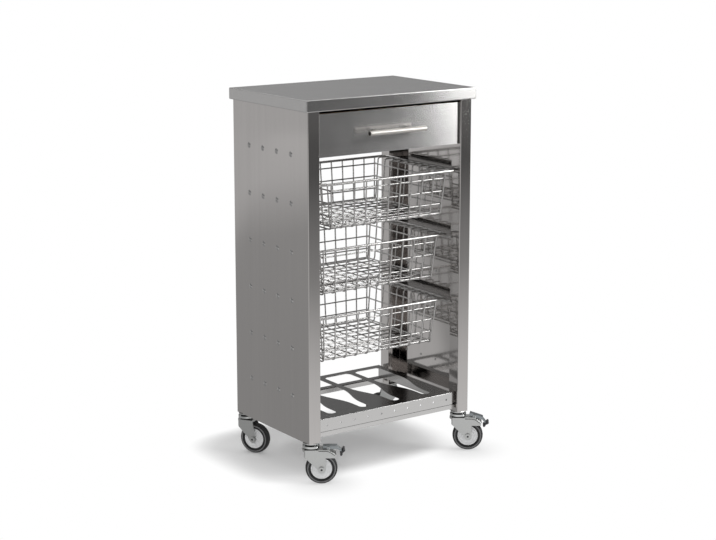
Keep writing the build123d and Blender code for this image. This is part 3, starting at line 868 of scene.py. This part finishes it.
def caster_frame(corner: str) -> Matrix:
    """Where a caster stands.

    Args:
        corner: the caster's corner of the cart.

    Returns:
        Matrix with X along the trail, Y along the axle and Z up from the floor under the swivel.
    """
    across = Vector(joint(f"{corner}_wheel_spin")["axis"])
    along = across.cross(UP)
    stand = Matrix((along, across, UP)).transposed().to_4x4()
    x, y, _ = joint(f"{corner}_swivel")["pos_m"]
    return Matrix.Translation((x, y, 0.0)) @ stand


@dataclass
class Caster:
    """Swivel caster: fork and axle from the solids, with a modelled hub, tyre and axle cap."""

    corner: str
    wheel_radius: float = 37.5 * MM
    edge: float = 0.5 * MM
    bead_radius: float = 1.7 * MM
    shadow_line_radius: float = 0.8 * MM
    shadow_line_drop: float = 2.3 * MM
    cap_facets: int = 24
    shade_sleeve_facets: int = 60
    place: Matrix = field(init=False)

    # Points in millimetres: trail, axle and height for the hood's edge, else the radius and the height.
    BEAD: ClassVar[tuple[Triple, ...]] = ((17.0, 15.4, 83.9), (40.0, 15.4, 83.9), (56.6, 15.4, 72.2))
    BEAD_BENDS: ClassVar[tuple[float, ...]] = (22.0, 5.0, 5.0, 22.0)
    SHADE_SLEEVE: ClassVar[Pairs] = ((14.9, 84.1), (15.2, 84.1), (15.2, 88.1), (14.9, 88.1))
    CAP: ClassVar[Pairs] = ((0.05, -17.4), (2.55, -17.4), (2.55, -18.7), (2.2, -19.0), (0.05, -19.0))
    TYRE_SIDE: ClassVar[Pairs] = (
        (25.0, 8.6), (25.5, 9.3), (27.2, 9.9), (28.6, 10.5), (31.9, 10.6), (33.0, 10.3),
        (34.4, 9.7), (35.6, 8.7), (36.5, 7.2), (37.1, 5.2), (37.4, 2.8),
    )
    HIGHLIGHT_BAND_SIDE: ClassVar[Pairs] = (
        (30.3, 10.2), (30.5, 10.8), (31.0, 11.0), (32.5, 10.9), (33.2, 10.6), (33.5, 9.9),
    )
    HUB_SIDE: ClassVar[Pairs] = (
        (4.05, 12.4), (4.4, 12.7), (8.3, 12.7), (8.9, 12.2), (9.3, 8.6), (10.2, 7.9), (15.6, 7.7),
        (16.0, 8.1), (17.0, 8.1), (17.4, 7.7), (20.4, 7.7), (21.2, 8.1), (21.9, 8.8), (22.6, 9.0),
        (24.4, 9.0), (24.9, 8.7), (25.0, 8.2),
    )

    def __post_init__(self) -> None:
        """Stand the wheel's own Z axis on the axle."""
        low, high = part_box(f"{self.corner}_tyre")
        axle = Vector(joint(f"{self.corner}_wheel_spin")["axis"])
        turn = UP.rotation_difference(axle)
        self.place = Matrix.Translation((low + high) / 2) @ turn.to_matrix().to_4x4()

    def build(self) -> None:
        """Make the hub, the tyre and the small parts, and dress the solids."""
        wheel = f"{self.corner}_wheel"
        tyre = Shape(f"{self.corner}_tyre_rubber")
        tyre.turned(self._both_sides(self.TYRE_SIDE, (self.wheel_radius / MM, 0.0)), self.place)
        tyre.piece(FINISHES["tyre_black"], "tyre_black", wheel, f"{self.corner}_tyre")
        # The raised ring on each tyre wall, paler than the tyre: a real ring with a painted highlight as its
        # colour.
        highlight_band = Shape(f"{self.corner}_tyre_highlight_bands")
        for side in (-1.0, 1.0):
            highlight_band.turned(in_metres([(r, side * z) for r, z in self.HIGHLIGHT_BAND_SIDE]), self.place)
        highlight_band.piece(HIGHLIGHT_BAND_RUBBER, "tyre_black", wheel)
        hub = Shape(f"{self.corner}_hub_disc")
        hub.turned(self._both_sides(self.HUB_SIDE), self.place)
        hub.piece(FINISHES["hub_grey"], "hub_grey", wheel, f"{self.corner}_hub")
        cap = Shape(f"{self.corner}_axle_cap")
        cap.turned(in_metres(self.CAP), self.place, self.cap_facets)
        cap.piece(FINISHES["brake_tread"], "brake_tread", f"{self.corner}_caster")
        stand = caster_frame(self.corner)
        # A near-black sleeve in the race's gap: painted shade.
        race_shade = Shape(f"{self.corner}_race_shade_sleeve")
        race_shade.turned(in_metres(self.SHADE_SLEEVE), stand, self.shade_sleeve_facets)
        race_shade.piece(PAINTED_SHADE_STEEL, "caster_zinc", f"{self.corner}_caster")
        if self.corner in FRONT_CORNERS:
            bead = self._hood_line("hood_bead", stand, self.bead_radius, 0.0)
            bead.piece(POLISHED_ZINC, "caster_zinc", f"{self.corner}_caster")
            # A near-black wire just below the bead: a painted shadow line.
            shadow_line = self._hood_line("hood_shadow_line", stand, self.shadow_line_radius, self.shadow_line_drop)
            shadow_line.piece(PAINTED_SHADE_STEEL, "caster_zinc", f"{self.corner}_caster")
        WARDROBE.dress(f"{self.corner}_axle", "caster_zinc")
        soften_edges(WARDROBE.dress(f"{self.corner}_fork", "caster_zinc"), self.edge)

    def _hood_line(self, name: str, stand: Matrix, radius: float, drop: float) -> Shape:
        """A wire along the edge of a braked fork's hood.

        Args:
            name: what it is called.
            stand: the caster's place.
            radius: half its thickness.
            drop: how far it lies below the edge.

        Returns:
            The wire.
        """
        near = [Vector((x * MM, -y * MM, z * MM - drop)) for x, y, z in self.BEAD]
        far = [Vector((x * MM, y * MM, z * MM - drop)) for x, y, z in reversed(self.BEAD)]
        line = bent([stand @ point for point in near + far], [bend * MM for bend in self.BEAD_BENDS])
        shape = Shape(f"{self.corner}_{name}")
        shape.wire(line, radius)
        return shape

    @staticmethod
    def _both_sides(side: Pairs, crest: Pair | None = None) -> list[Pair]:
        """Closed profile from one side's points in millimetres.

        Args:
            side: radius and height from the inside out.
            crest: the point between the two sides, if there is one.

        Returns:
            The profile in metres.
        """
        return in_metres([*side, *([crest] if crest else []), *[(r, -z) for r, z in reversed(side)]])


@dataclass
class Brake:
    """Brake pedal of a front caster: a steel lever from the solids and a modelled tread."""

    corner: str
    pressed: float = 0.0
    half_width: float = 14.0 * MM
    edge: float = 0.4 * MM
    pivot: Triple = (40.0 * MM, 0.0, 87.0 * MM)
    low: Pair = (66.5 * MM, 71.0 * MM)
    high: Pair = (75.5 * MM, 86.0 * MM)

    # Shares of the way from the tread's low end to its high end, with the rise in millimetres.
    LOBES: ClassVar[Pairs] = (
        (0.03, 0.8), (0.0, 2.0), (0.01, 3.9), (0.06, 4.8), (0.13, 5.0), (0.22, 4.8), (0.32, 4.1),
        (0.42, 3.4), (0.5, 3.2), (0.58, 3.4), (0.68, 4.1), (0.78, 4.8), (0.87, 5.0), (0.94, 4.8),
        (0.99, 3.9), (1.0, 2.0), (0.97, 0.8), (0.92, 0.1), (0.08, 0.1),
    )
    # Shares of the tread's half width, with the outline's scale there.
    ENDS: ClassVar[Pairs] = ((1.0, 0.80), (0.96, 0.93), (0.88, 1.0))

    def build(self) -> None:
        """Make the tread and dress the lever."""
        body = f"{self.corner}_brake"
        soften_edges(WARDROBE.dress(f"{body}_pedal", "brake_steel"), self.edge)
        tread = Shape(f"{body}_tread")
        stations = [(-self.half_width * place, scale) for place, scale in self.ENDS]
        stations += [(self.half_width * place, scale) for place, scale in reversed(self.ENDS)]
        tread.prism(self._outline(), stations, self._place())
        tread.piece(FINISHES["brake_tread"], "brake_tread", body, f"{body}_pad")

    def _outline(self) -> list[Pair]:
        """The tread's two-lobed side view."""
        low = Vector(self.low)
        along = Vector(self.high) - low
        outward = Vector((along.y, -along.x)).normalized()
        points = [low + along * share + outward * (rise * MM) for share, rise in self.LOBES]
        return [(point.x, point.y) for point in points]

    def _place(self) -> Matrix:
        """The caster's place, turned about the pivot as far as the pedal is pressed."""
        pivot = Matrix.Translation(self.pivot)
        press = Matrix.Rotation(math.radians(self.pressed), 4, "Y")
        return caster_frame(self.corner) @ pivot @ press @ pivot.inverted()


@dataclass
class Heads:
    """Swivel heads, kingpins and plates of all four casters."""

    edge: float = 0.6 * MM
    shade_sleeve_facets: int = 60

    SHADE_SLEEVE: ClassVar[Pairs] = ((13.9, 93.4), (14.2, 93.4), (14.2, 97.7), (13.9, 97.7))

    def dress(self) -> None:
        """Give the fixed caster solids their finishes, and each neck a near-black sleeve of painted shade.
        """
        neck_shades = Shape("caster_neck_shade_sleeves")
        for corner in CORNERS:
            neck_shades.turned(in_metres(self.SHADE_SLEEVE), caster_frame(corner), self.shade_sleeve_facets)
        neck_shades.piece(PAINTED_SHADE_STEEL, "caster_zinc", "cart")
        soften_edges(WARDROBE.dress("caster_heads", "caster_zinc", POLISHED_ZINC), self.edge)
        for node in ("caster_kingpins", "caster_plates"):
            WARDROBE.dress(node, "fastener_steel")


@dataclass(frozen=True)
class SoftBox:
    """Soft lamp that faces the cart; metal shows it only where it is mirrored."""

    name: str
    place: Triple
    size: Pair
    power: float
    mirrored: bool = True

    AIM: ClassVar[Vector] = Vector((0.0, 0.0, 0.55))

    def hang(self) -> None:
        """Add the lamp to the scene."""
        data = bpy.data.lights.new(self.name, "AREA")
        data.shape = "RECTANGLE"
        data.size, data.size_y = self.size
        data.energy = self.power
        lamp = bpy.data.objects.new(self.name, data)
        lamp.visible_glossy = self.mirrored
        lamp.location = self.place
        lamp.rotation_euler = (self.AIM - Vector(self.place)).to_track_quat("-Z", "Y").to_euler()
        bpy.context.scene.collection.objects.link(lamp)


@dataclass
class Studio:
    """Pale floor, soft light and the camera."""

    floor_radius: float = 6.0
    floor_facets: int = 96
    floor_drop: float = 0.0002
    floor_colour: Colour = (0.82, 0.82, 0.82)
    camera_place: Triple = (-2.3050, -3.2967, 1.3425)
    azimuth: float = -35.14
    elevation: float = 10.98
    focal: float = 1698.1
    frame_width: float = 716.0
    sensor: float = 36.0
    shift: float = -0.06
    far_clip: float = 60.0
    shadow_white: float = 0.15
    shadow_middle: Pair = (-0.03, 0.09)
    shadow_half: Pair = (0.25, 0.19)
    shadow_fade: Pair = (0.5, 2.5)
    wheel_trail: float = 24.0 * MM
    wheel_white: float = 0.4
    wheel_fade: Pair = (0.01, 0.12)
    # Two pale patches of painted light on the floor, seen only in reflections: their tone, slant and spans.
    light_patch_tone: float = 0.54
    light_patch_slant: Triple = (1.0, 0.7, 0.0)
    rear_light_patch_start: Pair = (0.10, 0.16)
    rear_light_patch_end: Pair = (0.50, 0.38)
    rear_light_patch_depth: Pair = (0.15, 0.5)
    front_light_patch_start: Pair = (-0.75, -1.25)
    front_light_patch_depth: Pair = (-0.9, -1.4)
    ramp_start: float = -5.0
    ramp_end: float = 5.0
    room_dimmest: float = 0.13
    wall_tone: float = 0.20
    wall_top: Pair = (0.08, 0.32)
    dark_side: Triple = (0.57, -0.82, 0.0)
    beside_tone: float = 0.25
    beside_start: Pair = (0.3, 0.7)
    beside_end: Pair = (0.94, 0.80)
    behind_tone: float = 0.35
    behind_start: Pair = (0.0, -0.6)
    behind_height: Pair = (0.35, 0.6)

    # Distance in front of the cart's middle, and the floor's painted light there as metal shows it: painted
    # shade under and behind the cart, and a painted pool of light just in front that fades further out.
    PAINTED_FLOOR_LIGHT: ClassVar[Pairs] = (
        (-5.0, 0.62), (-3.6, 0.56), (-2.4, 0.36), (0.0, 0.33),
        (0.3, 0.76), (0.8, 0.66), (1.9, 0.31), (3.8, 0.10),
    )
    SOFT_BOXES: ClassVar[tuple[SoftBox, ...]] = (
        SoftBox("key_softbox", place=(2.35, -1.89, 1.57), size=(1.5, 2.0), power=64.0),
        SoftBox("top_softbox", place=(0.30, 0.30, 2.80), size=(4.2, 4.2), power=54.0),
        SoftBox("front_fill", place=(-2.2, -2.6, 1.7), size=(1.2, 1.2), power=46.0, mirrored=False),
    )

    def build(self) -> None:
        """Set the stage."""
        bpy.context.scene.view_settings.view_transform = "Standard"
        self._floor()
        self._world()
        for box in self.SOFT_BOXES:
            box.hang()
        self._camera()

    def _floor(self) -> None:
        """Pale round floor that looks white to the camera away from the cart's shadow, and glows with
        painted light and shade in reflections.
        """
        mesh = bmesh.new()
        bmesh.ops.create_circle(mesh, cap_ends=True, segments=self.floor_facets, radius=self.floor_radius)
        data = bpy.data.meshes.new("floor")
        mesh.to_mesh(data)
        mesh.free()
        floor = bpy.data.objects.new("floor", data)
        floor.location.z = -self.floor_drop
        bpy.context.scene.collection.objects.link(floor)
        paint = bpy.data.materials.new("floor_paint")
        paint.use_nodes = True
        paint.cycles.emission_sampling = "NONE"
        recipe = Recipe(paint.node_tree)
        place = recipe.node("ShaderNodeNewGeometry", out="Position")
        open_share = self._open_floor(recipe, place)
        seen = recipe.ray("Camera")
        mirrored = recipe.maths("MAXIMUM", recipe.ray("Glossy"), recipe.ray("Transmission"))
        white = seen * (self.shadow_white + (1.0 - self.shadow_white) * open_share)
        matt = recipe.node("ShaderNodeBsdfDiffuse", None, {"Color": self.floor_colour})
        # Reflections see the floor glowing with its painted light and shade instead of its lit colour.
        tone = recipe.blend(mirrored, (1.0, 1.0, 1.0), self._painted_floor_light(recipe, place))
        glow = recipe.node("ShaderNodeEmission", None, {"Color": tone, "Strength": 1.0})
        share = recipe.maths("MAXIMUM", white, mirrored)
        recipe.surface(recipe.node("ShaderNodeMixShader", None, {0: share, 1: matt, 2: glow}))
        data.materials.append(paint)

    def _painted_floor_light(self, recipe: Recipe, place: Socket) -> Socket:
        """Painted light of the floor as metal shows it: a sweep of painted light and shade from front to
        rear, and two pale patches of painted light on it.

        Args:
            recipe: where the nodes go.
            place: the point on the floor.

        Returns:
            The tone as a grey colour.
        """
        span = self.ramp_end - self.ramp_start
        ahead = recipe.dot(place, (0.0, -1.0 / span, 0.0)) - self.ramp_start / span
        stops = [((at - self.ramp_start) / span, (tone, tone, tone)) for at, tone in self.PAINTED_FLOOR_LIGHT]
        sweep = recipe.node("ShaderNodeValToRGB", {"stops": stops}, {"Fac": ahead})
        slant = recipe.dot(place, self.light_patch_slant)
        depth = recipe.dot(place, (0.0, 1.0, 0.0))
        rear_light_strip = recipe.eased(slant, self.rear_light_patch_start) * recipe.eased(slant, self.rear_light_patch_end)
        rear_light_patch = rear_light_strip * recipe.eased(depth, self.rear_light_patch_depth)
        front_light_patch = recipe.eased(slant, self.front_light_patch_start) * recipe.eased(depth, self.front_light_patch_depth)
        return recipe.blend(rear_light_patch + front_light_patch, sweep, (self.light_patch_tone, self.light_patch_tone, self.light_patch_tone))

    def _open_floor(self, recipe: Recipe, place: Socket) -> Socket:
        """Share of the floor's white: none under the cart, less at the front wheels, and full further out.

        Args:
            recipe: where the nodes go.
            place: the point on the floor.

        Returns:
            The share.
        """
        x_half, y_half = self.shadow_half
        along = recipe.dot(place, (1.0 / x_half, 0.0, 0.0)) - self.shadow_middle[0] / x_half
        deep = recipe.dot(place, (0.0, 1.0 / y_half, 0.0)) - self.shadow_middle[1] / y_half
        across = along * along
        depth = deep * deep
        share = recipe.eased(across * across + depth * depth, self.shadow_fade)
        for corner in FRONT_CORNERS:
            foot = caster_frame(corner) @ Vector((self.wheel_trail, 0.0, 0.0))
            settings = {"operation": "DISTANCE"}
            away = recipe.node("ShaderNodeVectorMath", settings, {0: place, 1: tuple(foot)}, "Value")
            clear = recipe.eased(away, self.wheel_fade)
            share = share * (self.wheel_white + (1.0 - self.wheel_white) * clear)
        return share

    def _world(self) -> None:
        """White surroundings for the camera, and a grey room for reflections, dark at the front right."""
        world = bpy.data.worlds.new("studio_room")
        world.use_nodes = True
        bpy.context.scene.world = world
        recipe = Recipe(world.node_tree)
        way = recipe.node("ShaderNodeTexCoord", out="Generated")
        front = recipe.dot(way, self.dark_side)
        height = recipe.dot(way, UP)
        low = 1.0 - recipe.eased(height, self.wall_top)
        beside = recipe.eased(front, self.beside_start) * recipe.eased(front, self.beside_end)
        behind = recipe.eased(front, self.behind_start) * recipe.eased(height, self.behind_height)
        wall = self.wall_tone - self.wall_tone * front + self.beside_tone * beside
        room = self.room_dimmest + low * wall + self.behind_tone * behind
        seen = recipe.ray("Camera")
        strength = seen + (1.0 - seen) * room
        sky = recipe.node("ShaderNodeBackground", None, {"Color": (1.0, 1.0, 1.0), "Strength": strength})
        recipe.node("ShaderNodeOutputWorld", None, {"Surface": sky})

    def _camera(self) -> None:
        """The camera at the photograph's viewing angle."""
        data = bpy.data.cameras.new("camera")
        data.sensor_width = self.sensor
        data.lens = self.focal * self.sensor / self.frame_width
        data.shift_y = self.shift
        data.clip_end = self.far_clip
        camera = bpy.data.objects.new("camera", data)
        turn = math.radians(self.azimuth)
        rise = math.radians(self.elevation)
        back = Vector((math.sin(turn) * math.cos(rise), -math.cos(turn) * math.cos(rise), math.sin(rise)))
        camera.location = self.camera_place
        camera.rotation_euler = (-back).to_track_quat("-Z", "Y").to_euler()
        bpy.context.scene.collection.objects.link(camera)
        bpy.context.scene.camera = camera


def main() -> None:
    """Build and dress the cart in its studio."""
    logging.basicConfig(level=logging.INFO, format="%(name)s: %(message)s")
    Studio().build()
    Carcass().dress()
    Drawer().dress()
    for tier in TIERS:
        Basket(tier).build()
    Heads().dress()
    for corner in CORNERS:
        Caster(corner).build()
    for corner, pressed in PEDAL_ANGLES.items():
        Brake(corner, pressed).build()


if __name__ == "__main__":
    main()
